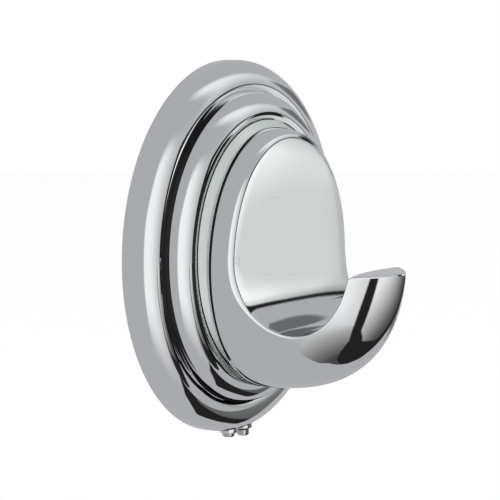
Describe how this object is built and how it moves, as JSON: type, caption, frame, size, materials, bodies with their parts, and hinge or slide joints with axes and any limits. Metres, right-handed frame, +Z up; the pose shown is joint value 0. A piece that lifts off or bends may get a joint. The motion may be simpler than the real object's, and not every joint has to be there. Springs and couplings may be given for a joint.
{
  "type": "wall hook",
  "caption": "Polished robe hook with a scooped upturned hook on a round stepped rosette, locked to a hidden wall bracket by set screws underneath.",
  "frame": {"origin": "centre of the wall bracket's back face, which lies on the wall", "axes": "+Z up, +Y into the wall, so the hook stands out towards -Y; +X to the right as seen from the front"},
  "size_m": [0.076, 0.0545, 0.0779],
  "materials": {
    "chrome_plate": "bright chrome plate over polished cast zinc",
    "zinc_plated_steel": "bright zinc plate on pressed or turned steel",
    "stainless_steel": "bright turned stainless steel",
    "grey_nylon": "moulded nylon"
  },
  "bodies": {
    "bracket": {"wall_bracket": "zinc_plated_steel", "wall_screw_upper": "zinc_plated_steel", "wall_screw_lower": "zinc_plated_steel", "wall_plug_upper": "grey_nylon", "wall_plug_lower": "grey_nylon"},
    "cover": {"rosette": "chrome_plate", "hook_body": "chrome_plate", "hook_screw": "zinc_plated_steel", "spring_washer": "zinc_plated_steel", "flat_washer": "zinc_plated_steel"},
    "left_set_screw": {"set_screw_left": "stainless_steel"},
    "right_set_screw": {"set_screw_right": "stainless_steel"}
  },
  "joints": [
    {"name": "cover_lift_off", "type": "slide", "parent": "bracket", "child": "cover", "axis": [0, -1, 0], "range_m": [0, 0.012]},
    {"name": "left_set_screw_travel", "type": "slide", "parent": "cover", "child": "left_set_screw", "axis": [0, 0, 1], "range_m": [0, 0.0019]},
    {"name": "right_set_screw_travel", "type": "slide", "parent": "cover", "child": "right_set_screw", "axis": [0, 0, 1], "range_m": [0, 0.0026]}
  ]
}
